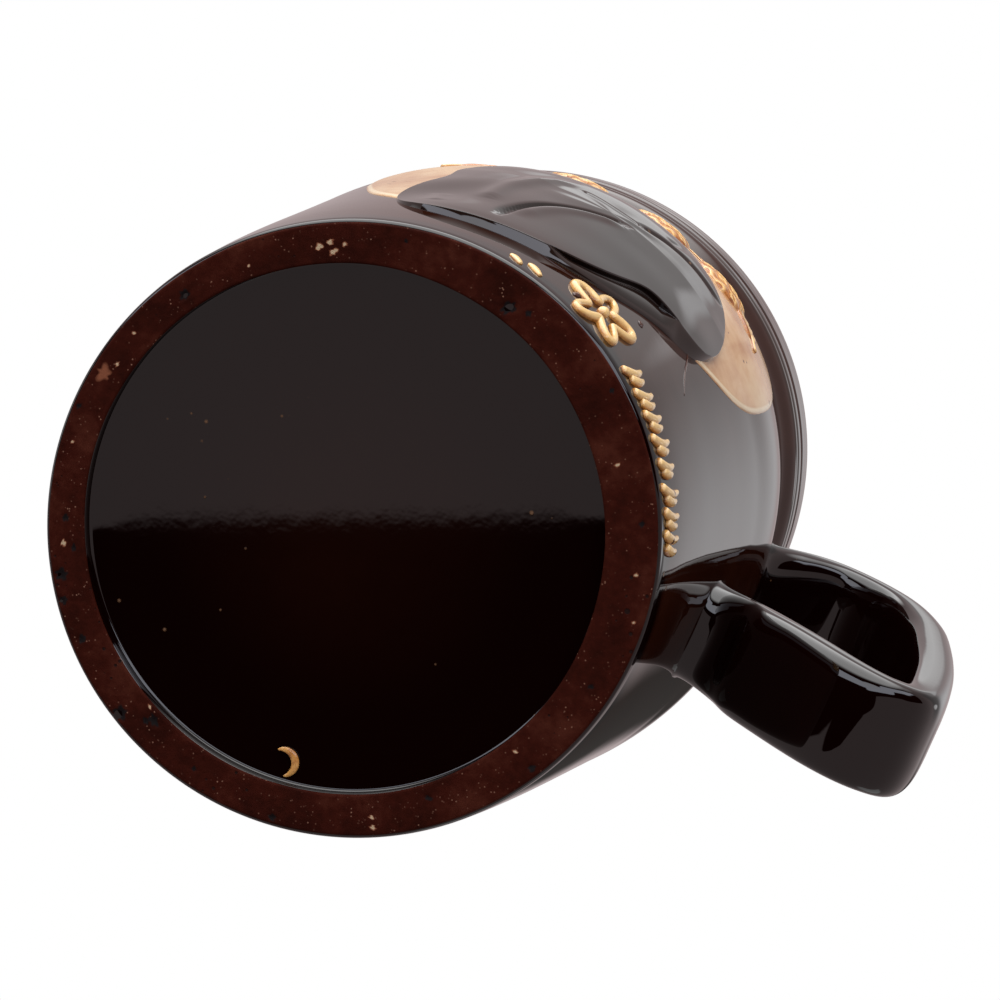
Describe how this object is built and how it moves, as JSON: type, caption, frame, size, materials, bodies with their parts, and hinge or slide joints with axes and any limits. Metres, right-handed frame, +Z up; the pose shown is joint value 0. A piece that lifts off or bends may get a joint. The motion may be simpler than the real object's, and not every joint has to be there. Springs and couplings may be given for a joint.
{
  "type": "stoneware jug",
  "caption": "Dark glazed stoneware beer jug with a strap handle, bare clay foot ring, raised hop leaf on a tan slip oval and a row of cream slip strokes.",
  "frame": {"origin": "middle of the box around the jug and its handle, on the surface that the foot ring stands on", "axes": "+Z up along the axis of the body, +X towards the handle, -Y out of the side with the relief"},
  "size_m": [0.1312, 0.0974, 0.131],
  "materials": {
    "glaze": "gloss",
    "bare_clay": "matte",
    "tan_slip": "gloss",
    "cream_slip": "gloss"
  },
  "bodies": {
    "root": {"jug": "glaze"}
  },
  "joints": []
}
